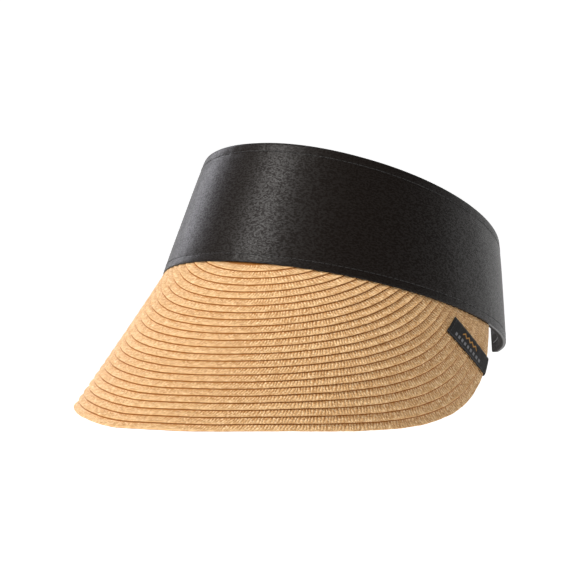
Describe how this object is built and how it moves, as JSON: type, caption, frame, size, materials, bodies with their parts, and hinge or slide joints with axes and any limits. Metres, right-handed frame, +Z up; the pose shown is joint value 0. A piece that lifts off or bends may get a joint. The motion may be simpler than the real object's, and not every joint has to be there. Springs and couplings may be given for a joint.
{
  "type": "sun visor",
  "caption": "Wide-brimmed sun visor: overlapping rows of straw braid sewn to a tall padded satin headband, open at the back, with two springy arms that grip the head.",
  "frame": {"origin": "centre of the headband's lower rim, where the head enters", "axes": "+Z up as worn, front of the brim towards -Y, wearer's left towards +X"},
  "size_m": [0.1689, 0.2587, 0.1217],
  "materials": {
    "straw": "matte braided paper straw",
    "satin": "soft satin weave",
    "lining": "matte woven lining",
    "wadding": "soft non-woven wadding",
    "stiffener": "springy sheet",
    "thread": "twisted sewing thread",
    "label": "woven ribbon"
  },
  "bodies": {
    "visor": {"braid_row_01": "straw", "braid_row_02": "straw", "braid_row_03": "straw", "braid_row_04": "straw", "braid_row_05": "straw", "braid_row_06": "straw", "braid_row_07": "straw", "braid_row_08": "straw", "braid_row_09": "straw", "braid_row_10": "straw", "braid_row_11": "straw", "braid_row_12": "straw", "braid_row_13": "straw", "braid_row_14": "straw", "braid_row_15": "straw", "braid_row_16": "straw", "braid_row_17": "straw", "braid_row_18": "straw", "braid_row_19": "straw", "braid_row_20": "straw", "braid_row_21": "straw", "braid_row_22": "straw", "braid_row_23": "straw", "braid_row_24": "straw", "cover_front": "satin", "wadding_front": "wadding", "stiffener_front": "stiffener", "lining_front": "lining", "stitch_top_front": "thread", "stitch_low_front": "thread", "brim_allowance": "straw", "label": "label", "label_stitch": "thread"},
    "arm_left": {"cover_left": "satin", "wadding_left": "wadding", "stiffener_left": "stiffener", "lining_left": "lining", "stitch_top_left": "thread", "stitch_low_left": "thread"},
    "arm_right": {"cover_right": "satin", "wadding_right": "wadding", "stiffener_right": "stiffener", "lining_right": "lining", "stitch_top_right": "thread", "stitch_low_right": "thread"}
  },
  "joints": [
    {"name": "arm_left_flex", "type": "hinge", "parent": "visor", "child": "arm_left", "pos_m": [0.07443, 0.02291, -0.00771], "axis": [0.1929, -0.2536, -0.9479], "range_deg": [-5, 18], "stiffness_Nm_per_rad": 0.15},
    {"name": "arm_right_flex", "type": "hinge", "parent": "visor", "child": "arm_right", "pos_m": [-0.07443, 0.02291, -0.00771], "axis": [0.1929, 0.2536, 0.9479], "range_deg": [-5, 18], "stiffness_Nm_per_rad": 0.15}
  ]
}
